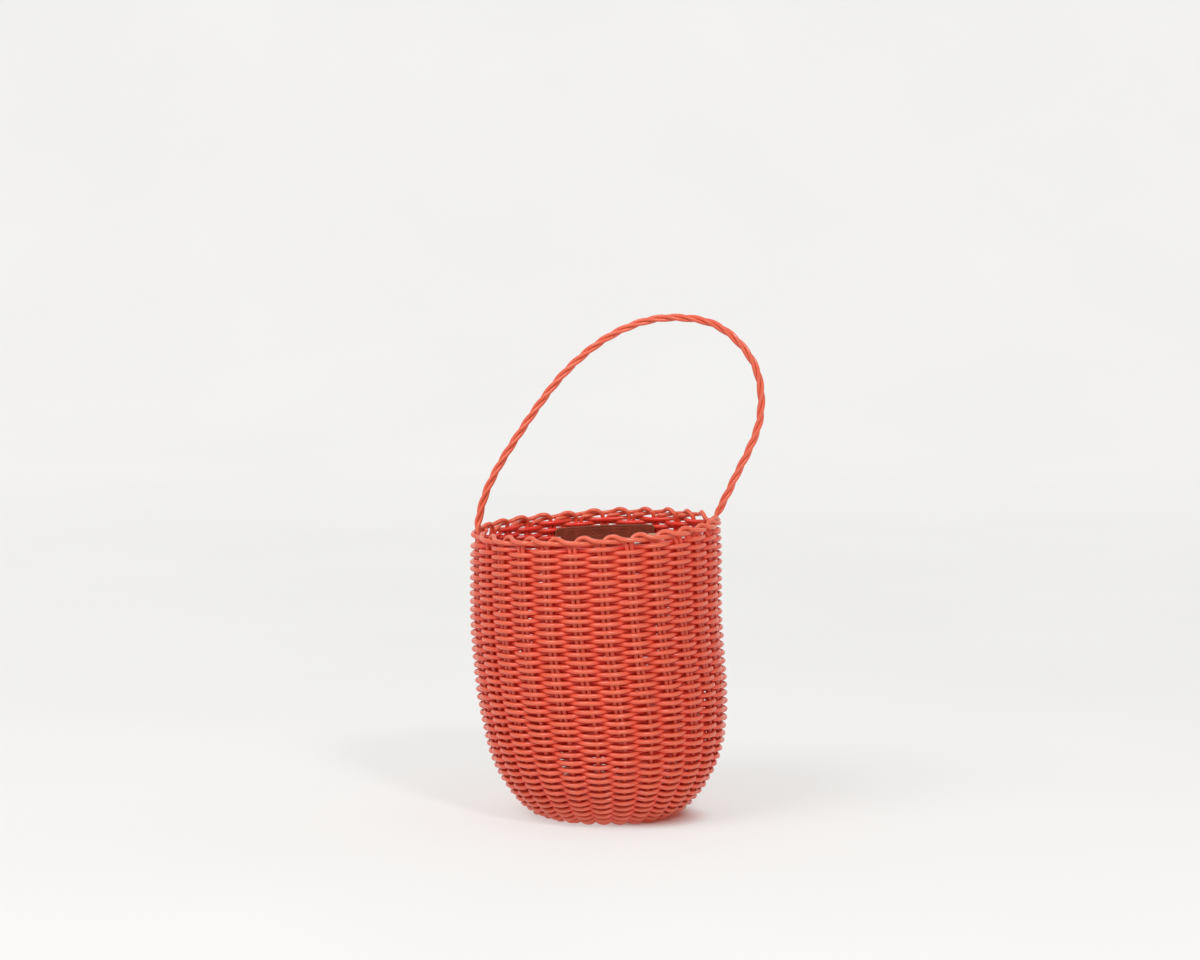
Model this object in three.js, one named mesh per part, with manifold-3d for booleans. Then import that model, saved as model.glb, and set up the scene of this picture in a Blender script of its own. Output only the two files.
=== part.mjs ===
// Egg basket, hand woven in round PVC cord: a cross of stake cords turned up into 27 uprights,
// weavers going round them in a spiral, a folded border, a three-strand rope handle and a small
// leather label sewn to the inside of the back wall.
// Millimetres, +Z up, origin on the floor under the middle of the base, -Y the front.
import * as THREE from 'three';
import { mergeVertices } from 'three/addons/utils/BufferGeometryUtils.js';
import Module from 'manifold-3d';

// ---- driving dimensions ----
const CORD = 2.1; // diameter of one cord
const STAKES = 27; // uprights round the wall, an odd number so that each round alternates
const RIM_HEIGHT = 194;
const FIRST_STAKE = -88; // degrees, the upright nearest the front
const TWIST = 9.5; // degrees that the uprights turn between the rim and the floor
const LEAN = -6.6; // how far the wall stands off to the left of the base
const LEAN_FROM = 35;
const LEAN_TO = 145;
const TILT = Math.tan(THREE.MathUtils.degToRad(3)); // slope of the rim, up to the right
const LAYER_DEPTH = 4.1; // from the outer surface to the middle of the uprights

// Outer surface of the basket as radius and height, from the middle of the base to the rim.
const PROFILE = new THREE.SplineCurve([
  [0, 0], [22, 0], [44, 0], [56.5, 6.5], [67.5, 20], [75, 34], [80, 52],
  [83.4, 80], [83.9, 108], [83.9, 142], [83.8, 175], [82.8, RIM_HEIGHT],
].map(([r, z]) => new THREE.Vector2(r, z)));
const RIM = PROFILE.getLength();

// Weavers: each turn of this ribbon stands for several rounds of cord.
const WEAVE_START = 29; // along the profile, from the middle of the base
const WEAVE_END = RIM - 7.6;
const WEAVE_TURNS = 12;
const WEAVE_SWING = 3.25; // in and out of the uprights
const WEAVE_THICK = 1.3;
const WEAVE_GAP = 0.8; // between one turn and the next
const TURNS_PER_LENGTH = 2; // turns that one length of weaver covers

// Base cross: seven cords one way with seven over them the other way.
const CROSS_PITCH = 2.8;
const CROSS_HALF = 13;
const CROSS_STEP = 2.6; // height from one layer of the cross to the next
const CENTRE_RADIUS = 25;
const CENTRE_THICK = 2.6;

// Uprights and border.
const PAIR_HALF = 1.7; // an upright and the folded end beside it stand this far off the line
const ROOT_HALF = 2.5; // the same where the handle's strands go down
const TAIL_ENDS = [RIM - 106, RIM - 129]; // where the folded ends stop, by turns
const ROOT_RIGHT = 7;
const ROOT_LEFT = 20;
const ROOT_DEPTH = 60; // how far the handle's strands go down into the wall

// Handle.
const HINGE_RISE = 5.5; // hinge line above the rim
const ROOT_RISE = 3.0; // top of the fixed ends above the rim
const ROPE_RADIUS = 1.35; // from the rope's centre line to each strand's
const ROPE_PITCH = 38; // length of one full turn of the strands
const ROPE_STEPS = 88;
// Hand-set line of the arch between its roots, as x and z.
const ARCH = [
  [-78.6, 218], [-57.2, 255], [-24.5, 297.8], [8, 322], [39.5, 331],
  [74, 325.5], [98.3, 300], [102.3, 264.5], [84.5, 221.5],
];

// Label and its ties.
const LABEL_FROM = 10.9; // in uprights round the wall
const LABEL_TO = 14.95;
const LABEL_TOP = RIM - 9;
const LABEL_HEIGHT = 11.5;
const LABEL_THICK = 1.8;
const LABEL_CORNER = 2.2;
const LABEL_COLUMNS = 16;
const LABEL_DEPTH = -5.3; // middle of the leather, inwards from the uprights
const HOLE_RADIUS = 1.1;
const HOLE_INSET = 0.2; // in uprights, from the label's end
const THREAD = 0.9;

// ---- materials ----
const plastic = new THREE.MeshStandardMaterial({ color: 0xe0604a, roughness: 0.42, metalness: 0 });
const leather = new THREE.MeshStandardMaterial({ color: 0x6e2a1c, roughness: 0.55, metalness: 0 });
const linen = new THREE.MeshStandardMaterial({ color: 0xe6cfae, roughness: 0.9, metalness: 0 });

const wasm = await Module();
wasm.setup();

const basket = new THREE.Group();
basket.name = 'egg_basket';

// ---- the wall as a surface ----

/** A point of the wall: upright number (27 to a turn), distance up the profile, offset outwards. */
function wall(upright, along, outwards = 0) {
  const t = THREE.MathUtils.clamp(along / RIM, 0, 1);
  const tangent = PROFILE.getTangentAt(t);
  const at = PROFILE.getPointAt(t).addScaledVector(tangent, along - t * RIM);
  const inset = LAYER_DEPTH - outwards;
  const radius = at.x - tangent.y * inset;
  const height = Math.max(at.y, 0) + tangent.x * inset;
  const turn = TWIST * (1 - height / RIM_HEIGHT);
  const angle = THREE.MathUtils.degToRad(FIRST_STAKE + (360 / STAKES) * upright + turn);
  const x = radius * Math.cos(angle);
  return new THREE.Vector3(
    x + LEAN * THREE.MathUtils.smoothstep(height, LEAN_FROM, LEAN_TO),
    radius * Math.sin(angle),
    height + (x * TILT * height) / RIM_HEIGHT,
  );
}

/** Upright spacing in millimetres at a distance up the profile. */
function spacing(along) {
  const radius = PROFILE.getPointAt(Math.min(along / RIM, 1)).x - LAYER_DEPTH;
  return (2 * Math.PI * radius) / STAKES;
}

// ---- shapes ----

/** A line through hand-set points whose steps fall on the points themselves. */
class CordLine extends THREE.CatmullRomCurve3 {
  getUtoTmapping(u) {
    return u;
  }
}

function roundSection(diameter, sides) {
  const corners = Array.from({ length: sides }, (_, i) => {
    const a = (2 * Math.PI * i) / sides;
    return new THREE.Vector2(Math.cos(a), Math.sin(a)).multiplyScalar(diameter / 2);
  });
  return new THREE.Shape(corners);
}

function cordAlong(path, steps, diameter = CORD, sides = 5) {
  return new THREE.ExtrudeGeometry(roundSection(diameter, sides), {
    steps,
    extrudePath: path,
  });
}

function cordThrough(points, diameter = CORD, sides = 5) {
  return cordAlong(new CordLine(points, false, 'centripetal'), points.length - 1, diameter, sides);
}

/** Moves every corner of a geometry, and joins the ones that meet. */
function reshape(geometry, move) {
  const position = geometry.attributes.position;
  const corner = new THREE.Vector3();
  for (let i = 0; i < position.count; i++) {
    const moved = move(corner.fromBufferAttribute(position, i));
    position.setXYZ(i, moved.x, moved.y, moved.z);
  }
  geometry.deleteAttribute('normal');
  geometry.deleteAttribute('uv');
  const joined = mergeVertices(geometry, 1e-3);
  joined.computeVertexNormals();
  return joined;
}

function add(name, geometry, material) {
  const mesh = new THREE.Mesh(geometry, material);
  mesh.name = name;
  basket.add(mesh);
  return mesh;
}

const twoDigits = (n) => String(n).padStart(2, '0');

// ---- base cross ----

/** Which way a bundle of the cross runs: the mean direction of its two fans of uprights. */
function bundleAxis(nearUpright, farUpright) {
  const near = wall(nearUpright, WEAVE_START);
  const far = wall(farUpright, WEAVE_START);
  return near.sub(far).setZ(0).normalize();
}

/** A cord's straight stretch across the middle, from the near side to the far side. */
function acrossBase(axis, lane, layer) {
  const side = new THREE.Vector3(-axis.y, axis.x, 0);
  const height = LAYER_DEPTH + layer * CROSS_STEP;
  return [1, 0.35, -0.35, -1].map((end) => axis.clone().multiplyScalar(end * CROSS_HALF)
    .addScaledVector(side, lane * CROSS_PITCH)
    .setZ(height));
}

// ---- uprights ----

const isRoot = (upright) => upright === ROOT_LEFT || upright === ROOT_RIGHT;

/** The folded border and the end tucked down beside the upright two places on, top end last. */
function borderAndTail(upright) {
  const start = upright + PAIR_HALF / spacing(RIM);
  const border = [
    [0.04, -0.9, -1.3], [0.2, -1, 0.9], [0.42, -0.3, 1.2], [0.62, 1.6, -0.7],
    [0.85, 2.8, -2.1], [1.15, 2.7, -2.6], [1.42, 1, -3], [1.62, -0.8, -3.9],
  ].map(([on, outwards, rise]) => wall(start + on, RIM + rise, outwards));
  const beside = upright + 2 - PAIR_HALF / spacing(RIM);
  if (isRoot(upright + 2)) {
    return border;
  }
  const end = TAIL_ENDS[upright % 2];
  const steps = [8, 30, 55, 80, 104].map((depth) => RIM - depth).filter((along) => along > end);
  const tail = [...steps, end].map((along) => wall(beside, along));
  return [...border, ...tail];
}

/** One upright from the base to its folded end. */
function uprightPoints(upright) {
  const half = isRoot(upright) ? ROOT_HALF : PAIR_HALF;
  const heights = [26.5, 40, 53, 66, 80, 96];
  const low = heights.map((along) => wall(upright, along));
  const high = [RIM - 131, RIM - 106, RIM - 80, RIM - 55, RIM - 30, RIM - 8]
    .map((along) => wall(upright + half / spacing(RIM), along));
  if (isRoot(upright)) {
    return [...low, ...high, wall(upright + half / spacing(RIM), RIM + ROOT_RISE)];
  }
  const shoulder = wall(upright + half / spacing(RIM), RIM - 4);
  return [...low, ...high, shoulder, ...borderAndTail(upright)];
}

function makeStakes() {
  const first = { axis: bundleAxis(3, 16), layer: 0 };
  const second = { axis: bundleAxis(9.5, 23), layer: 1 };
  const cords = [];
  for (let k = 0; k < 7; k++) {
    cords.push({ ...first, near: k, far: 19 - k, lane: k - 3 });
  }
  for (let k = 7; k < 13; k++) {
    cords.push({ ...second, near: k, far: 33 - k, lane: k - 9.5 });
  }
  cords.push({ ...second, far: 20, lane: 3.5 });
  cords.forEach(({ near, far, axis, lane, layer }, i) => {
    const start = near === undefined ? [] : uprightPoints(near).reverse();
    const middle = acrossBase(axis, lane, layer);
    const points = [...start, ...middle, ...uprightPoints(far)];
    add(`stake_cord_${twoDigits(i + 1)}`, cordThrough(points), plastic);
  });
}

// ---- weavers ----

/** Lower and upper edge of the spiral ribbon after a number of turns, along the profile. */
function ribbonEdges(turns) {
  const pitch = (WEAVE_END - WEAVE_START) / WEAVE_TURNS;
  const low = WEAVE_START + pitch * Math.max(turns - 1, 0);
  const high = WEAVE_START + pitch * Math.min(turns, WEAVE_TURNS);
  return [low + WEAVE_GAP / 2, high - WEAVE_GAP / 2];
}

/** A length of weaver between two counts of uprights passed, in front of and behind them by turns. */
function weaverLength(from, to) {
  const flat = new THREE.BoxGeometry(to - from, 1, 1, Math.ceil(to - from), 2, 1);
  return reshape(flat, (corner) => {
    const passed = Math.min(corner.x + (from + to) / 2, to - 0.02);
    const count = Math.round(passed);
    const side = count % 2 ? 1 : -1;
    const fade = 1 - 2 * Math.abs(passed - count);
    const [low, high] = ribbonEdges(passed / STAKES);
    const along = THREE.MathUtils.lerp(low, high, corner.y + 0.5);
    const outwards = side * fade * WEAVE_SWING + corner.z * WEAVE_THICK;
    return wall(passed, along, outwards);
  });
}

function makeWeavers() {
  const passes = STAKES * (WEAVE_TURNS + 1);
  const each = STAKES * TURNS_PER_LENGTH;
  const starts = [];
  for (let from = 0; from < passes - STAKES; from += each) {
    starts.push(from);
  }
  starts.forEach((from, i) => {
    const last = i === starts.length - 1;
    const begin = i === 0 ? 3 : from;
    const end = last ? passes - 3 : from + each;
    add(`weaver_${i + 1}`, weaverLength(begin, end), plastic);
  });
}

function makeCentre() {
  const disc = new THREE.CylinderGeometry(CENTRE_RADIUS, CENTRE_RADIUS, CENTRE_THICK, 24);
  const mesh = add('centre_weaver', disc, plastic);
  mesh.rotation.x = Math.PI / 2;
  mesh.position.z = CENTRE_THICK / 2;
}

// ---- handle ----

const hingeLeft = wall(ROOT_LEFT, RIM + HINGE_RISE);
const hingeRight = wall(ROOT_RIGHT, RIM + HINGE_RISE);

/** Middle line of the rope handle, from the left root over the top to the right one. */
function archLine() {
  const span = hingeRight.x - hingeLeft.x;
  const points = ARCH.map(([x, z]) => {
    const across = THREE.MathUtils.clamp((x - hingeLeft.x) / span, 0, 1);
    return new THREE.Vector3(x, THREE.MathUtils.lerp(hingeLeft.y, hingeRight.y, across), z);
  });
  return new THREE.CatmullRomCurve3([hingeLeft, ...points, hingeRight], false, 'centripetal');
}

/** One strand of the rope: a right-handed helix round the arch line. */
class StrandLine extends THREE.Curve {
  constructor(centre, phase) {
    super();
    this.centre = centre;
    this.turns = centre.getLength() / ROPE_PITCH;
    this.phase = phase;
  }

  getPoint(t, target = new THREE.Vector3()) {
    const tangent = this.centre.getTangentAt(t);
    const side = new THREE.Vector3(0, 1, 0).cross(tangent).normalize();
    const back = tangent.clone().cross(side);
    const angle = 2 * Math.PI * this.turns * t + this.phase;
    return target.copy(this.centre.getPointAt(t))
      .addScaledVector(side, ROPE_RADIUS * Math.cos(angle))
      .addScaledVector(back, ROPE_RADIUS * Math.sin(angle));
  }
}

function makeHandle() {
  const centre = archLine();
  for (let i = 0; i < 3; i++) {
    const strand = new StrandLine(centre, (2 * Math.PI * i) / 3);
    add(`handle_strand_${i + 1}`, cordAlong(strand, ROPE_STEPS), plastic);
  }
}

/** The strand ends that go down into the wall beside the root upright. */
function makeHandleEnds() {
  const roots = { left: ROOT_LEFT, right: ROOT_RIGHT };
  for (const [side, upright] of Object.entries(roots)) {
    [0, -ROOT_HALF].forEach((beside, i) => {
      const on = upright + beside / spacing(RIM);
      const points = [ROOT_RISE, -15, -35, -ROOT_DEPTH].map((rise) => wall(on, RIM + rise));
      add(`handle_end_${side}_${i + 1}`, cordThrough(points), plastic);
    });
  }
}

// ---- label ----

/** A closed geometry as a solid that can be cut. */
function solidOf(geometry) {
  return new wasm.Manifold(new wasm.Mesh({
    numProp: 3,
    vertProperties: Float32Array.from(geometry.attributes.position.array),
    triVerts: Uint32Array.from(geometry.index.array),
  }));
}

function geometryOf(solid) {
  const mesh = solid.getMesh();
  const geometry = new THREE.BufferGeometry();
  geometry.setAttribute('position', new THREE.BufferAttribute(mesh.vertProperties, 3));
  geometry.setIndex(new THREE.BufferAttribute(mesh.triVerts, 1));
  const faceted = geometry.toNonIndexed();
  faceted.computeVertexNormals();
  return faceted;
}

/** The leather strip bent round the wall, its corners rounded where the columns draw in. */
function labelStrip(across, middle) {
  const half = ((LABEL_TO - LABEL_FROM) / 2) * across;
  const high = LABEL_HEIGHT / 2;
  const flat = new THREE.BoxGeometry(LABEL_COLUMNS, 1, 1, LABEL_COLUMNS, 1, 1);
  const ends = [0, LABEL_CORNER * 0.3];
  return reshape(flat, ({ x, y, z }) => {
    const column = Math.round(LABEL_COLUMNS / 2 - Math.abs(x));
    const inner = LABEL_CORNER + (column - 2) * ((half - LABEL_CORNER) / (LABEL_COLUMNS / 2 - 2));
    const inset = ends[column] ?? inner;
    const rest = Math.max(LABEL_CORNER - inset, 0);
    const limit = high - LABEL_CORNER + Math.sqrt(LABEL_CORNER ** 2 - rest ** 2);
    const along = LABEL_TOP - high + 2 * y * limit;
    return wall(middle - (Math.sign(x) * (half - inset)) / across, along, LABEL_DEPTH - z * LABEL_THICK);
  });
}

/** A punch that cuts one of the label's holes. */
function holePunch(upright, along) {
  const punch = new THREE.CylinderGeometry(HOLE_RADIUS, HOLE_RADIUS, 3 * LABEL_THICK, 16);
  const at = wall(upright, along, LABEL_DEPTH);
  const outwards = wall(upright, along, 0).sub(at).normalize();
  const turn = new THREE.Quaternion().setFromUnitVectors(new THREE.Vector3(0, 1, 0), outwards);
  return reshape(punch, (corner) => corner.applyQuaternion(turn).add(at));
}

function makeLabel() {
  const across = spacing(RIM);
  const strip = labelStrip(across, (LABEL_FROM + LABEL_TO) / 2);
  const along = LABEL_TOP - LABEL_HEIGHT / 2;
  let solid = solidOf(strip);
  for (const hole of [LABEL_FROM + HOLE_INSET, LABEL_TO - HOLE_INSET]) {
    solid = solid.subtract(solidOf(holePunch(hole, along)));
  }
  add('leather_label', geometryOf(solid), leather);
}

/** A thread through each hole, round the label's end and back to the wall. */
function makeTies() {
  const ends = { left: [LABEL_TO, 1], right: [LABEL_FROM, -1] };
  const front = LABEL_DEPTH - LABEL_THICK / 2 - THREAD / 2 - 0.35;
  const behind = LABEL_DEPTH + LABEL_THICK / 2;
  for (const [side, [edge, way]] of Object.entries(ends)) {
    const hole = edge - way * HOLE_INSET;
    const route = [
      [hole, behind - 0.3], [hole, LABEL_DEPTH], [hole + way * 0.02, front + 0.2],
      [hole + way * 0.1, front], [edge + way * 0.04, front], [edge + way * 0.12, LABEL_DEPTH],
      [edge + way * 0.14, behind],
    ];
    const along = LABEL_TOP - LABEL_HEIGHT / 2;
    const points = route.map(([upright, outwards]) => wall(upright, along, outwards));
    add(`label_tie_${side}`, cordThrough(points, THREAD, 6), linen);
  }
}

makeCentre();
makeStakes();
makeWeavers();
makeHandle();
makeHandleEnds();
makeLabel();
makeTies();

export default basket;
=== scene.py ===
import math

import bpy
import numpy as np
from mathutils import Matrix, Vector


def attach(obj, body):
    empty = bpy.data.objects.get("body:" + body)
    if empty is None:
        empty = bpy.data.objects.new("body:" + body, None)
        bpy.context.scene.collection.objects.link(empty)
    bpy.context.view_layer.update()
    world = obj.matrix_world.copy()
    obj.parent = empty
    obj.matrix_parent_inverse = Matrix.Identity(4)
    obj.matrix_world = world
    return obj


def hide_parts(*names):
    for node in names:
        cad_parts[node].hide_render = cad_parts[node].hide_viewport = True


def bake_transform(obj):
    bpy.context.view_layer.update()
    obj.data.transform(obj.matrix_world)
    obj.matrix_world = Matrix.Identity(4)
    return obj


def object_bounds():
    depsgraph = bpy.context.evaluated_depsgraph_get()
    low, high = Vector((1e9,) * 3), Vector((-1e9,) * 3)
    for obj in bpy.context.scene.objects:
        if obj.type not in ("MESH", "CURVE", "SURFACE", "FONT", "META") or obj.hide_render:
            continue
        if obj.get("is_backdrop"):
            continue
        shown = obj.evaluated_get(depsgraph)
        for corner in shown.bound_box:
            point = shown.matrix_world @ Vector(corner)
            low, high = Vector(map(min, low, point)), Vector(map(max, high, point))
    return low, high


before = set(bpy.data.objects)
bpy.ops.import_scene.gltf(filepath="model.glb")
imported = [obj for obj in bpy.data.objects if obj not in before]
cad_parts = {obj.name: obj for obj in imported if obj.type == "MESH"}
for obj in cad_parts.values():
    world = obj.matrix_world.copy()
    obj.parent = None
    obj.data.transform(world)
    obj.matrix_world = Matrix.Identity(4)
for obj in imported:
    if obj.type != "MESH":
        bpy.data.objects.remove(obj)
cad_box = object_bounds()
rng = np.random.default_rng(7)
MM = 0.001

# ---- sizes of the basket, in millimetres ----
CORD = 3.0  # round plastic cord, through the wall and the border
STAKES = 27
RIM_HEIGHT = 194
FIRST_STAKE = -88  # degrees
TWIST = 9.5  # degrees that the uprights turn between the rim and the floor
LEAN, LEAN_FROM, LEAN_TO = -6.6, 35, 145
TILT = math.tan(math.radians(3))
LAYER_DEPTH = 4.1
PROFILE = [
    (0, 0), (22, 0), (44, 0), (56.5, 6.5), (67.5, 20), (75, 34), (80, 52),
    (83.4, 80), (83.9, 108), (83.9, 142), (83.8, 175), (82.8, RIM_HEIGHT),
]

WEAVE_START = 24.5  # along the profile from the middle of the base
WEAVE_STOP = 5.0  # below the rim
ROUND_PITCH = 2.7
SWING_LOW, SWING_HIGH = 2.6, 2.8  # how far a round bulges in front of and behind the uprights
SAMPLES_PER_STAKE = 8

CROSS_PITCH, CROSS_HALF, CROSS_STEP = 2.8, 13, 2.6
PAIR_HALF = 1.6  # an upright and the folded end beside it
ROOT_HALF = 2.6
TAIL_DEPTHS = (106, 129)  # below the rim, by turns
ROOT_RIGHT, ROOT_LEFT = 7, 20
ROOT_DEPTH = 60

HINGE_RISE = 5.5
STRAND = 2.55
ROPE_RADIUS = 1.42
ROPE_PITCH = 38
ARCH = [
    (-78.6, 218), (-57.2, 255), (-24.5, 297.8), (8, 322), (39.5, 331),
    (74, 325.5), (98.3, 300), (102.3, 264.5), (84.5, 221.5),
]

LABEL_FROM, LABEL_TO = 10.9, 14.95  # in uprights round the wall
LABEL_DROP, LABEL_HEIGHT, LABEL_THICK, LABEL_CORNER = 9, 11.5, 1.8, 2.2
LABEL_DEPTH = -5.3
HOLE_INSET = 0.2
THREAD = 0.65


# ---- curves ----
def catmull(points, per_step, power=0.0):
    """Catmull-Rom curve through points, per_step samples a span; power 0 is uniform, 0.25 centripetal."""
    p = np.asarray(points, float)
    if power:
        p = np.vstack([2 * p[0] - p[1], p, 2 * p[-1] - p[-2]])
    else:
        p = np.vstack([p[0], p, p[-1]])
    out = []
    for i in range(1, len(p) - 2):
        a, b, c, d = p[i - 1:i + 3]
        first, span, last = (
            max(np.sum((q - r) ** 2) ** power, 1e-9) if power else 1.0 for q, r in ((b, a), (c, b), (d, c))
        )
        m1 = span * ((b - a) / first - (c - a) / (first + span) + (c - b) / span)
        m2 = span * ((c - b) / span - (d - b) / (span + last) + (d - c) / last)
        t = np.linspace(0, 1, per_step, endpoint=False)[:, None]
        out.append(
            (2 * t**3 - 3 * t**2 + 1) * b + (t**3 - 2 * t**2 + t) * m1
            + (-2 * t**3 + 3 * t**2) * c + (t**3 - t**2) * m2
        )
    out.append(p[-2][None])
    return np.vstack(out)


def lengths(path):
    return np.concatenate([[0], np.cumsum(np.linalg.norm(np.diff(path, axis=0), axis=1))])


def evenly(path, step):
    """The same path with points a step apart."""
    run = lengths(path)
    at = np.linspace(0, run[-1], max(int(run[-1] / step), 2) + 1)
    return np.stack([np.interp(at, run, path[:, k]) for k in range(path.shape[1])], 1)


outline = catmull(PROFILE, 60)
outline_run = lengths(outline)
RIM = outline_run[-1]
slope = np.gradient(outline, outline_run, axis=0)
slope /= np.linalg.norm(slope, axis=1)[:, None]


def wall(upright, along, outwards=0.0):
    """Points of the wall in mm: upright number (27 to a turn), distance up the profile, offset outwards."""
    upright, along, outwards = np.broadcast_arrays(
        np.asarray(upright, float), np.asarray(along, float), np.asarray(outwards, float)
    )
    held = np.clip(along, 0, RIM)
    radius, height = (np.interp(held, outline_run, outline[:, k]) for k in range(2))
    across, up = (np.interp(held, outline_run, slope[:, k]) for k in range(2))
    radius, height = radius + across * (along - held), height + up * (along - held)
    inset = LAYER_DEPTH - outwards
    radius, height = radius - up * inset, np.maximum(height, 0) + across * inset
    angle = np.radians(FIRST_STAKE + 360 / STAKES * upright + TWIST * (1 - height / RIM_HEIGHT))
    x = radius * np.cos(angle)
    lean = np.clip((height - LEAN_FROM) / (LEAN_TO - LEAN_FROM), 0, 1)
    lean = LEAN * lean * lean * (3 - 2 * lean)
    return np.stack([x + lean, radius * np.sin(angle), height + x * TILT * height / RIM_HEIGHT], -1)


def spacing(along):
    return 2 * math.pi * (np.interp(along, outline_run, outline[:, 0]) - LAYER_DEPTH) / STAKES


def wander(count, reach, size):
    """Smooth random values, one for each of count samples, that change over reach samples."""
    knots = rng.normal(0, size, int(count / reach) + 3)
    return np.interp(np.arange(count) / reach, np.arange(len(knots)), knots)


def settled(passed, size):
    """Smooth random values over the wall, changing from upright to upright and over three rounds."""
    row, column = passed / STAKES / 3, passed % STAKES
    knots = rng.normal(0, size, (int(row[-1]) + 3, STAKES))
    r, c = row.astype(int), column.astype(int)
    down, on = row - r, column - c
    left = knots[r, c] * (1 - down) + knots[r + 1, c] * down
    right = knots[r, (c + 1) % STAKES] * (1 - down) + knots[r + 1, (c + 1) % STAKES] * down
    return left * (1 - on) + right * on


# ---- meshes ----
def piece(name, verts, faces, material, body="basket"):
    mesh = bpy.data.meshes.new(name)
    mesh.from_pydata([tuple(v) for v in verts], [], faces)
    mesh.polygons.foreach_set("use_smooth", [True] * len(mesh.polygons))
    mesh.materials.append(material)
    mesh.update()
    obj = bpy.data.objects.new(name, mesh)
    bpy.context.scene.collection.objects.link(obj)
    if body:
        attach(obj, body)
    return obj


def frames(path):
    """Tangent, normal and binormal along a path, carried without twist."""
    tangent = np.gradient(path, axis=0)
    tangent /= np.linalg.norm(tangent, axis=1)[:, None]
    start = np.array([0, 0, 1.0]) if abs(tangent[0][2]) < 0.8 else np.array([1.0, 0, 0])
    normal = np.empty_like(path)
    normal[0] = start - tangent[0] * (start @ tangent[0])
    normal[0] /= np.linalg.norm(normal[0])
    for i in range(1, len(path)):
        n = normal[i - 1] - tangent[i] * (normal[i - 1] @ tangent[i])
        normal[i] = n / np.linalg.norm(n)
    return tangent, normal, np.cross(tangent, normal)


def tube(name, paths, diameter, material, sides=10, body="basket", light_share=None):
    """Round cord along each path (mm), with softly rounded ends. Keeps cord coordinates for the grain.

    The last argument gives one value a point, painted light and shade: it mixes a lit and a shaded copy of
    the cord's colour, 1 outside and 0 deep in the weave.
    """
    verts, faces, along_cord, light_shares = [], [], [], []
    turn = np.linspace(0, 2 * math.pi, sides, endpoint=False)
    for path in paths:
        tangent, normal, across = frames(path)
        run = lengths(path)
        radius = np.full(len(path), diameter / 2)
        radius[[0, -1]] *= 0.72
        ring = np.cos(turn)[:, None] * normal[:, None] + np.sin(turn)[:, None] * across[:, None]
        base = sum(len(v) for v in verts)
        verts.append((path[:, None] + radius[:, None, None] * ring).reshape(-1, 3) * MM)
        phase = rng.uniform(0, 50)
        grain = np.empty((len(path), sides, 3))
        grain[..., 0] = np.cos(turn) * diameter / 2
        grain[..., 1] = np.sin(turn) * diameter / 2
        grain[..., 2] = run[:, None] + phase * 10
        along_cord.append(grain.reshape(-1, 3))
        light_shares.append(np.repeat(np.ones(len(path)) if light_share is None else light_share, sides))
        for i in range(len(path) - 1):
            a = base + i * sides
            for k in range(sides):
                m = (k + 1) % sides
                faces.append((a + k, a + m, a + sides + m, a + sides + k))
        last = base + (len(path) - 1) * sides
        faces.append(tuple(base + k for k in reversed(range(sides))))
        faces.append(tuple(last + k for k in range(sides)))
    obj = piece(name, np.vstack(verts), faces, material, body)
    layer = obj.data.attributes.new("cord", "FLOAT_VECTOR", "POINT")
    layer.data.foreach_set("vector", np.vstack(along_cord).ravel())
    # painted light and shade: the share of the lit colour at each point, read by the cord material
    layer = obj.data.attributes.new("painted_light_share", "FLOAT", "POINT")
    layer.data.foreach_set("value", np.concatenate(light_shares))
    return obj


# ---- materials ----
def nodes_of(name):
    material = bpy.data.materials.new(name)
    material.use_nodes = True
    tree = material.node_tree
    shader = tree.nodes["Principled BSDF"]

    def node(kind, links=(), **values):
        made = tree.nodes.new(kind)
        for key, value in values.items():
            if hasattr(made, key) and key not in made.inputs:
                setattr(made, key, value)
            else:
                made.inputs[key].default_value = value
        for socket, source in dict(links).items():
            tree.links.new(source, made.inputs[socket])
        return made

    return material, tree, shader, node


def ramp(node, factor, stops):
    made = node("ShaderNodeValToRGB", {"Fac": factor})
    elements = made.color_ramp.elements
    while len(elements) < len(stops):
        elements.new(0.5)
    for element, (place, colour) in zip(elements, stops):
        element.position = place
        element.color = (*colour, 1)
    return made.outputs["Color"]


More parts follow.
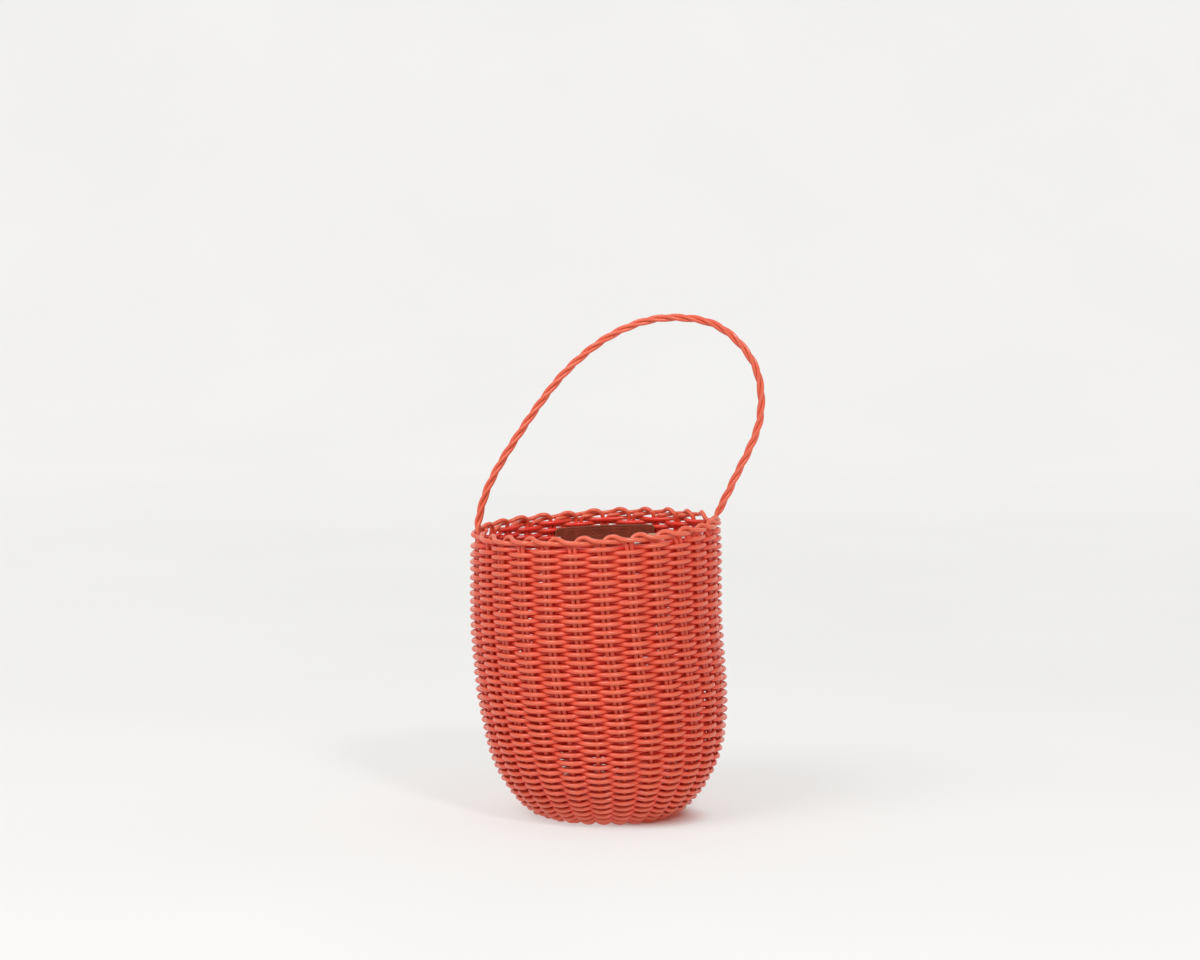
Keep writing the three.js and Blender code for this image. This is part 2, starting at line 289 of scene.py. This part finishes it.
def plastic_material(name, light, deep):
    """Drawn PVC cord: slow colour drift, faint lines along the cord, scuffs, a soft gloss, and painted
    light and shade: a lit copy of the colour mixed with a darker, more saturated shaded copy.
    """
    material, tree, shader, node = nodes_of(name)
    cord = node("ShaderNodeAttribute", attribute_name="cord").outputs["Vector"]
    place = node("ShaderNodeTexCoord").outputs["Object"]
    stretched = node("ShaderNodeMapping", {"Vector": cord}, Scale=(2.6, 2.6, 0.03)).outputs["Vector"]
    lines = node("ShaderNodeTexNoise", {"Vector": stretched}, Scale=1.6, Detail=3.0, Roughness=0.6)
    lines = lines.outputs["Fac"]
    slow = node("ShaderNodeMapping", {"Vector": cord}, Scale=(0.05, 0.05, 0.035)).outputs["Vector"]
    drift = node("ShaderNodeTexNoise", {"Vector": slow}, Scale=1.0, Detail=2.0).outputs["Fac"]
    scuff = node("ShaderNodeTexNoise", {"Vector": place}, Scale=900.0, Detail=4.0, Roughness=0.7)
    scuff = scuff.outputs["Fac"]
    tone = node("ShaderNodeMath", operation="MULTIPLY_ADD")
    tree.links.new(lines, tone.inputs[0])
    tone.inputs[1].default_value = 0.3
    tree.links.new(drift, tone.inputs[2])
    # Painted light and shade: deep is the shaded copy of the colour, for the cord deep in the weave, and
    # light the lit copy, for the outside; the stored share of light mixes them.
    shaded_colour = ramp(node, tone.outputs[0], [(0.35, deep[0]), (0.95, deep[1])])
    lit_colour = ramp(node, tone.outputs[0], [(0.35, light[0]), (0.95, light[1])])
    painted_light_share = node("ShaderNodeAttribute", attribute_name="painted_light_share").outputs["Fac"]
    colour = node("ShaderNodeMix", data_type="RGBA")
    tree.links.new(painted_light_share, colour.inputs[0])
    tree.links.new(shaded_colour, colour.inputs[6])
    tree.links.new(lit_colour, colour.inputs[7])
    tree.links.new(colour.outputs[2], shader.inputs["Base Color"])
    rough = node("ShaderNodeMapRange", {"Value": scuff})
    rough.inputs["From Min"].default_value, rough.inputs["From Max"].default_value = 0.3, 0.7
    rough.inputs["To Min"].default_value, rough.inputs["To Max"].default_value = 0.17, 0.3
    tree.links.new(rough.outputs["Result"], shader.inputs["Roughness"])
    first = node("ShaderNodeBump", {"Height": lines}, Strength=0.35, Distance=0.0002)
    links = {"Height": scuff, "Normal": first.outputs["Normal"]}
    second = node("ShaderNodeBump", links, Strength=0.12, Distance=0.0001)
    tree.links.new(second.outputs["Normal"], shader.inputs["Normal"])
    shader.inputs["IOR"].default_value = 1.54
    shader.inputs["Subsurface Weight"].default_value = 0.06
    shader.inputs["Subsurface Radius"].default_value = (1.0, 0.25, 0.12)
    shader.inputs["Subsurface Scale"].default_value = 0.0012
    return material


def leather_material():
    """Brown vegetable leather: pebbled grain, darker creases, a slightly waxy finish."""
    material, tree, shader, node = nodes_of("label_leather")
    place = node("ShaderNodeTexCoord").outputs["Object"]
    cells = node("ShaderNodeTexVoronoi", {"Vector": place}, Scale=1500.0).outputs["Distance"]
    cloud = node("ShaderNodeTexNoise", {"Vector": place}, Scale=160.0, Detail=5.0, Roughness=0.65)
    cloud = cloud.outputs["Fac"]
    colour = ramp(node, cloud, [(0.3, (0.15, 0.026, 0.011)), (0.7, (0.25, 0.046, 0.019))])
    tree.links.new(colour, shader.inputs["Base Color"])
    rough = node("ShaderNodeMapRange", {"Value": cloud})
    rough.inputs["To Min"].default_value, rough.inputs["To Max"].default_value = 0.5, 0.72
    tree.links.new(rough.outputs["Result"], shader.inputs["Roughness"])
    shader.inputs["Specular IOR Level"].default_value = 0.3
    first = node("ShaderNodeBump", {"Height": cells}, Strength=0.3, Distance=0.00015)
    links = {"Height": cloud, "Normal": first.outputs["Normal"]}
    second = node("ShaderNodeBump", links, Strength=0.25, Distance=0.0003)
    tree.links.new(second.outputs["Normal"], shader.inputs["Normal"])
    return material


def edge_material():
    """The label's cut edge, paler and more fibrous than its face."""
    material, tree, shader, node = nodes_of("label_cut_edge")
    place = node("ShaderNodeTexCoord").outputs["Object"]
    fibre = node("ShaderNodeTexNoise", {"Vector": place}, Scale=1400.0, Detail=4.0).outputs["Fac"]
    colour = ramp(node, fibre, [(0.3, (0.20, 0.075, 0.035)), (0.7, (0.42, 0.19, 0.095))])
    tree.links.new(colour, shader.inputs["Base Color"])
    shader.inputs["Roughness"].default_value = 0.8
    bump = node("ShaderNodeBump", {"Height": fibre}, Strength=0.4, Distance=0.0002)
    tree.links.new(bump.outputs["Normal"], shader.inputs["Normal"])
    return material


def thread_material():
    """Pale twisted thread, with painted shade in the grooves between its plies."""
    material, tree, shader, node = nodes_of("tie_thread")
    cord = node("ShaderNodeAttribute", attribute_name="cord").outputs["Vector"]
    ply = node(
        "ShaderNodeTexWave", {"Vector": cord}, Scale=0.7, Distortion=1.5, Detail=2.0, bands_direction="Z"
    ).outputs["Fac"]
    # Painted shade: the colour darkens in the grooves between the plies, following the same bands as the
    # bump.
    colour = ramp(node, ply, [(0.0, (0.52, 0.36, 0.22)), (1.0, (0.85, 0.70, 0.50))])
    tree.links.new(colour, shader.inputs["Base Color"])
    shader.inputs["Roughness"].default_value = 0.85
    bump = node("ShaderNodeBump", {"Height": ply}, Strength=0.5, Distance=0.0002)
    tree.links.new(bump.outputs["Normal"], shader.inputs["Normal"])
    return material


# Painted light and shade: light is the lit copy of the cord's colour, deep the darker, more saturated
# shaded copy, which stands for shade and red light bounced between the cords.
cord_plastic = plastic_material(
    "cord_plastic",
    light=((0.7, 0.103, 0.05), (0.765, 0.137, 0.068)),
    deep=((0.74, 0.028, 0.015), (0.84, 0.042, 0.022)),
)
leather, cut_edge, thread = leather_material(), edge_material(), thread_material()


# ---- base cross and uprights ----
def bundle_axis(near, far):
    way = wall(near, WEAVE_START) - wall(far, WEAVE_START)
    way[2] = 0
    return way / np.linalg.norm(way)


AXIS_LOW, AXIS_HIGH = bundle_axis(3, 16), bundle_axis(9.5, 23)


def across_base(axis, lane, layer):
    side = np.array([-axis[1], axis[0], 0])
    height = np.array([0, 0, LAYER_DEPTH + layer * CROSS_STEP])
    return [axis * end * CROSS_HALF + side * lane * CROSS_PITCH + height for end in (1, 0.35, -0.35, -1)]


def border_and_tail(upright):
    """The end of an upright folded over into the border, then down beside the upright two places on."""
    start = upright + PAIR_HALF / spacing(RIM)
    # uprights travelled, offset outwards and height over the rim
    border = [
        (0.05, -0.9, -1.6), (0.15, -1.1, 0), (0.3, -0.8, 0.9), (0.46, 0.3, 0.6), (0.62, 1.8, -0.8),
        (0.8, 2.8, -1.6), (1, 3, -2), (1.2, 2.8, -2.2), (1.4, 1.2, -2.6), (1.57, -0.7, -2.9),
        (1.75, -1.3, -3.2),
    ]
    lift = rng.normal(0, 0.22)
    points = [
        wall(start + on, RIM + rise + lift, outwards)
        for on, outwards, rise in border
    ]
    if upright + 2 in (ROOT_LEFT, ROOT_RIGHT):
        return points
    beside = upright + 2 - PAIR_HALF / spacing(RIM)
    end = TAIL_DEPTHS[upright % 2] + rng.normal(0, 1.2)
    depths = [d for d in (8, 30, 55, 80, 104) if d < end - 4] + [end]
    return points + [wall(beside, RIM - d) for d in depths]


def upright_points(upright):
    root = upright in (ROOT_LEFT, ROOT_RIGHT)
    shift = (ROOT_HALF if root else PAIR_HALF) / spacing(RIM)
    low = [wall(upright, along) for along in (26.5, 40, 53, 66, 80, 96)]
    high = [wall(upright + shift, RIM - d) for d in (131, 106, 80, 55, 30, 8)]
    if root:
        return low + high
    return low + high + [wall(upright + shift, RIM - 4)] + border_and_tail(upright)


def make_stakes():
    cords = [(AXIS_LOW, 0, k, 19 - k, k - 3) for k in range(7)]
    cords += [(AXIS_HIGH, 1, k, 33 - k, k - 9.5) for k in range(7, 13)]
    cords.append((AXIS_HIGH, 1, None, 20, 3.5))
    for i, (axis, layer, near, far, lane) in enumerate(cords):
        start = upright_points(near)[::-1] if near is not None else []
        points = start + across_base(axis, lane, layer) + upright_points(far)
        path = evenly(catmull(points, 24, 0.25), 1.1)
        # Painted shade: an upright gets a share of the shaded colour where it runs through the weave, and
        # the lit colour above it in the border.
        above_weave = (path[:, 2] - path[:, 0] * TILT - (RIM_HEIGHT - 6)) / 3
        made = tube(f"stake_{i + 1:02d}", [path], CORD, cord_plastic, light_share=np.clip(above_weave, 0.6, 1))
        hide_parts(f"stake_cord_{i + 1:02d}")


# ---- weavers ----
def make_weavers():
    """One cord worked round and round, in front of one upright and behind the next, in six lengths."""
    rounds = (RIM - WEAVE_STOP - WEAVE_START) / ROUND_PITCH
    count = int(rounds * STAKES * SAMPLES_PER_STAKE)
    passed = np.arange(count) / SAMPLES_PER_STAKE
    height = passed / STAKES
    swing = np.tanh(0.95 * np.cos(math.pi * passed)) / math.tanh(0.95)
    along = WEAVE_START + ROUND_PITCH * height
    reach = np.interp(along, (60, 100), (SWING_LOW, SWING_HIGH))
    bearing = np.radians(FIRST_STAKE + 360 / STAKES * passed)
    drawn_in = np.clip(np.sin(bearing), 0, 0.5) * np.interp(along, (85, 110), (1, 0))
    reach *= 1 - 1.2 * drawn_in  # the back is drawn tighter low down
    along += settled(passed, 0.36) + wander(count, SAMPLES_PER_STAKE, 0.07)
    outwards = reach * swing * (1 + wander(count, SAMPLES_PER_STAKE, 0.04))
    path = wall(passed, along, outwards)
    # Painted light and shade: the front of each float gets the lit colour, the cord behind the uprights the
    # shaded colour.
    painted_light_share = np.clip(0.5 + 0.5 * swing, 0, 1)
    names = [f"weaver_{i + 1}" for i in range(6)]
    cuts = np.linspace(0, count, len(names) + 1).astype(int)
    for name, a, b in zip(names, cuts, cuts[1:]):
        run_on = slice(a, b + 2)  # each length runs on over the start of the next
        made = tube(f"{name}_cord", [path[run_on]], 1.01 * CORD, cord_plastic, light_share=painted_light_share[run_on])
        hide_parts(name)


def make_centre():
    """The first rounds, over one pair of the cross's arms and under the other, then the other way."""
    turns, samples = 4, 4 * 90
    t = np.linspace(0, turns, samples)
    angle = 2 * math.pi * t + math.atan2(AXIS_LOW[1], AXIS_LOW[0]) + math.pi / 4
    arm = np.cos(2 * (angle - math.atan2(AXIS_LOW[1], AXIS_LOW[0])))
    side = np.clip((2 - t) * 12, -1, 1)
    layer = LAYER_DEPTH + CROSS_STEP * (1 - np.tanh(2 * arm)) / 2
    radius = 12.6 + 2.62 * t
    high = np.clip(layer - 2.7 * side * np.tanh(2 * arm), 1.35, None)
    path = np.stack([radius * np.cos(angle), radius * np.sin(angle), high], 1)
    made = tube("centre_rounds", [path], CORD, cord_plastic)
    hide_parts("centre_weaver")


# ---- handle ----
def make_handle():
    """Three strands laid into a rope; each goes down into the wall at both roots."""
    left, right = (wall(root, RIM + HINGE_RISE) for root in (ROOT_LEFT, ROOT_RIGHT))
    depth = [wall(root, RIM - 2) for root in (ROOT_LEFT, ROOT_RIGHT)]
    inner = [
        np.array([x, np.interp(x, [left[0], right[0]], [left[1], right[1]]), z]) for x, z in ARCH
    ]
    centre = evenly(catmull([depth[0], left, *inner, depth[1]], 80, 0.25), 1.0)
    run = lengths(centre)
    tangent = np.gradient(centre, axis=0)
    tangent /= np.linalg.norm(tangent, axis=1)[:, None]
    side = np.cross([0, 1, 0], tangent)
    side /= np.linalg.norm(side, axis=1)[:, None]
    back = np.cross(tangent, side)
    hinge = (right - left) / np.linalg.norm(right - left)
    up = np.cross(hinge, np.cross([0, 0, 1], hinge))
    up /= np.linalg.norm(up)
    into = 9.0  # the strands lay together over this length above the wall
    laid = np.clip(np.minimum(run, run[-1] - run) / into, 0, 1)
    laid = laid * laid * (3 - 2 * laid)
    for i, beside in enumerate((-ROOT_HALF, 0, ROOT_HALF)):
        angle = 2 * math.pi * (run / ROPE_PITCH + i / 3)
        helix = ROPE_RADIUS * (np.cos(angle)[:, None] * side + np.sin(angle)[:, None] * back)
        ends = {}
        for root in (ROOT_LEFT, ROOT_RIGHT):
            on = root + beside / spacing(RIM)
            ends[root] = [wall(on, RIM - d) for d in (ROOT_DEPTH, 42, 24, 10, 2)]
        flat_left = ends[ROOT_LEFT][-1] - centre[0]
        flat_right = ends[ROOT_RIGHT][-1] - centre[-1]
        first_half = (run < run[-1] / 2)[:, None]
        flat = np.where(first_half, flat_left, flat_right)
        rope = centre + laid[:, None] * helix + (1 - laid[:, None]) * flat
        path = np.vstack([ends[ROOT_LEFT][:-1], rope, ends[ROOT_RIGHT][:-1][::-1]])
        path = evenly(catmull(path, 4, 0.25), 1.0)
        made = tube(f"rope_strand_{i + 1}", [path], STRAND, cord_plastic, sides=12, body=None)
        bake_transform(made)
        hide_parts(f"handle_strand_{i + 1}")
        if i < 2:
            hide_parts(f"handle_end_left_{i + 1}", f"handle_end_right_{i + 1}")


# ---- label and ties ----
def make_label():
    """Leather strip bent round the inside of the wall, with a blind-pressed line just inside its edge."""
    across = spacing(RIM)
    half, high = (LABEL_TO - LABEL_FROM) / 2 * across, LABEL_HEIGHT / 2
    nx, ny = 300, 52
    x, y = np.meshgrid(np.linspace(-half, half, nx), np.linspace(-high, high, ny), indexing="ij")
    cut_x = np.maximum(np.abs(x) - (half - LABEL_CORNER), 0)
    limit = high - LABEL_CORNER + np.sqrt(np.maximum(LABEL_CORNER**2 - cut_x**2, 0))
    y = y * limit / high
    inward_edge = np.minimum(half - np.abs(x), limit - np.abs(y))
    crown = 0.35 * (1 - np.clip(inward_edge / 0.7, 0, 1)) ** 2
    pressed = 0.2 * np.exp(-(((inward_edge - 1.3) / 0.2) ** 2))
    for egg in range(-3, 4):  # a plain row of small egg shapes, pressed in
        shape = np.hypot((x - egg * 4.4) / 1.05, (y - 0.7) / (1.45 - 0.12 * np.sign(y - 0.7)))
        pressed = pressed + 0.3 * np.exp(-(((shape - 1) / 0.3) ** 2))
    thick = LABEL_THICK / 2
    front_out = -thick + crown + pressed
    back_out = thick - crown * 0.6
    middle = (LABEL_FROM + LABEL_TO) / 2
    along = RIM - LABEL_DROP - LABEL_HEIGHT / 2 + y

    def bent(out):
        return wall(middle - x / across, along, LABEL_DEPTH + out).reshape(-1, 3)

    verts = np.vstack([bent(front_out), bent(back_out)]) * MM
    n = nx * ny

    def at(i, j, back):
        return back * n + i * ny + j

    faces = []
    for i in range(nx - 1):
        for j in range(ny - 1):
            faces.append((at(i, j, 0), at(i, j + 1, 0), at(i + 1, j + 1, 0), at(i + 1, j, 0)))
            faces.append((at(i, j, 1), at(i + 1, j, 1), at(i + 1, j + 1, 1), at(i, j + 1, 1)))
    rim = [(i, 0) for i in range(nx)] + [(nx - 1, j) for j in range(1, ny)]
    rim += [(i, ny - 1) for i in range(nx - 2, -1, -1)] + [(0, j) for j in range(ny - 2, 0, -1)]
    side_faces = len(faces)
    for (i, j), (k, m) in zip(rim, rim[1:] + rim[:1]):
        faces.append((at(i, j, 0), at(k, m, 0), at(k, m, 1), at(i, j, 1)))
    made = piece("label_strip", verts, faces, leather)
    made.data.materials.append(cut_edge)
    for polygon in made.data.polygons[side_faces:]:
        polygon.material_index = 1
    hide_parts("leather_label")


def make_ties():
    """Two turns of thread through the hole at each end of the label and round its end to the wall."""
    front = LABEL_DEPTH - LABEL_THICK / 2 - THREAD / 2
    behind = LABEL_DEPTH + LABEL_THICK / 2 + 0.6
    for side, edge, way in (("left", LABEL_TO, 1), ("right", LABEL_FROM, -1)):
        hole = edge - way * HOLE_INSET
        paths = []
        for drop in (-0.3, 0.3):
            route = [
                (hole, behind), (hole, LABEL_DEPTH), (hole + way * 0.02, front + 0.2),
                (hole + way * 0.1, front - 0.05), (edge + way * 0.02, front),
                (edge + way * 0.1, LABEL_DEPTH), (edge + way * 0.14, behind),
                (edge + way * 0.2, behind + 1.2),
            ]
            along = RIM - LABEL_DROP - LABEL_HEIGHT / 2 - 1 + drop
            points = [wall(upright, along, outwards) for upright, outwards in route]
            paths.append(evenly(catmull(points, 12, 0.25), 0.3))
        made = tube(f"tie_{side}", paths, THREAD, thread, sides=8)
        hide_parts(f"label_tie_{side}")


make_centre()
make_stakes()
make_weavers()
make_handle()
make_label()
make_ties()


# ---- studio ----
def make_floor():
    """Pale sweep: a floor that curves up far behind the basket, with a painted dark red contact shadow
    under the basket's right side.
    """
    turn = np.linspace(0, math.pi / 2, 17)
    section = [(-6.0, 0.0), (2.2, 0.0)]
    section += [(2.2 + 1.5 * math.sin(a), 1.5 - 1.5 * math.cos(a)) for a in turn[1:]]
    section.append((3.7, 6.0))
    verts = [(x, y, z) for x in (-7.0, 7.0) for y, z in section]
    n = len(section)
    faces = [(k, k + 1, n + k + 1, n + k) for k in range(n - 1)]
    material, tree, shader, node = nodes_of("studio_paper")
    place = node("ShaderNodeTexCoord").outputs["Object"]
    mottle = node("ShaderNodeTexNoise", {"Vector": place}, Scale=3.0, Detail=2.0).outputs["Fac"]
    colour = ramp(node, mottle, [(0.3, (0.36, 0.358, 0.352)), (0.7, (0.38, 0.378, 0.372))])
    tree.links.new(colour, shader.inputs["Base Color"])
    shader.inputs["Roughness"].default_value = 0.9
    shader.inputs["Specular IOR Level"].default_value = 0.1
    # Painted contact shadow: within about 2 to 5 cm of a point just right of the basket's middle the
    # floor's glow turns dark red, a painted shadow and a painted red bounce from the basket. Further out
    # the glow grows a little with distance.
    away = node("ShaderNodeVectorMath", {"Vector": place}, operation="DISTANCE")
    away.inputs[1].default_value = (0.027, -0.012, 0.0)
    away = away.outputs["Value"]
    near = node("ShaderNodeMapRange", {"Value": away}, interpolation_type="SMOOTHSTEP")
    near.inputs["From Min"].default_value, near.inputs["From Max"].default_value = 0.02, 0.047
    contact_shadow_colour = ramp(node, near.outputs["Result"], [(0.0, (0.42, 0.08, 0.05)), (1.0, (1.0, 0.995, 0.982))])
    tree.links.new(contact_shadow_colour, shader.inputs["Emission Color"])
    far = node("ShaderNodeMapRange", {"Value": away}, interpolation_type="SMOOTHSTEP")
    far.inputs["From Min"].default_value, far.inputs["From Max"].default_value = 0.3, 3.0
    far.inputs["To Min"].default_value, far.inputs["To Max"].default_value = 0.5, 0.6
    tree.links.new(far.outputs["Result"], shader.inputs["Emission Strength"])
    floor = piece("studio_floor", verts, faces, material, body=None)
    floor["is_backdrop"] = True


def area_light(name, place, aim, size, power, colour=(1, 1, 1)):
    data = bpy.data.lights.new(name, "AREA")
    data.shape, data.size, data.energy, data.color = "DISK", size, power, colour
    lamp = bpy.data.objects.new(name, data)
    bpy.context.scene.collection.objects.link(lamp)
    lamp.location = place
    aim_at(lamp, aim)


def aim_at(obj, target):
    way = Vector(target) - Vector(obj.location)
    obj.rotation_euler = way.to_track_quat("-Z", "Y").to_euler()


def make_lights():
    area_light("key", (-1.25, -1.2, 2.1), (0, 0, 0.1), 1.4, 28)
    area_light("fill", (0.8, -1.75, 1.7), (0, 0, 0.12), 0.42, 19)
    world = bpy.data.worlds.new("studio_air")
    world.use_nodes = True
    world.node_tree.nodes["Background"].inputs["Color"].default_value = (1.0, 0.995, 0.985, 1)
    world.node_tree.nodes["Background"].inputs["Strength"].default_value = 0.57
    bpy.context.scene.world = world


def make_camera():
    data = bpy.data.cameras.new("camera")
    data.lens, data.sensor_width = 100, 36
    data.clip_end = 50
    camera = bpy.data.objects.new("camera", data)
    bpy.context.scene.collection.objects.link(camera)
    camera.location = (-0.004, -2.2, 0.456)
    aim_at(camera, (-0.004, 0, 0.2237))
    bpy.context.scene.camera = camera


make_floor()
make_lights()
make_camera()
bpy.context.scene.view_settings.view_transform = "Standard"

boxes = {"cad": cad_box, "visual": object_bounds()}
boxes = {name: [[float(v) for v in corner] for corner in box] for name, box in boxes.items()}
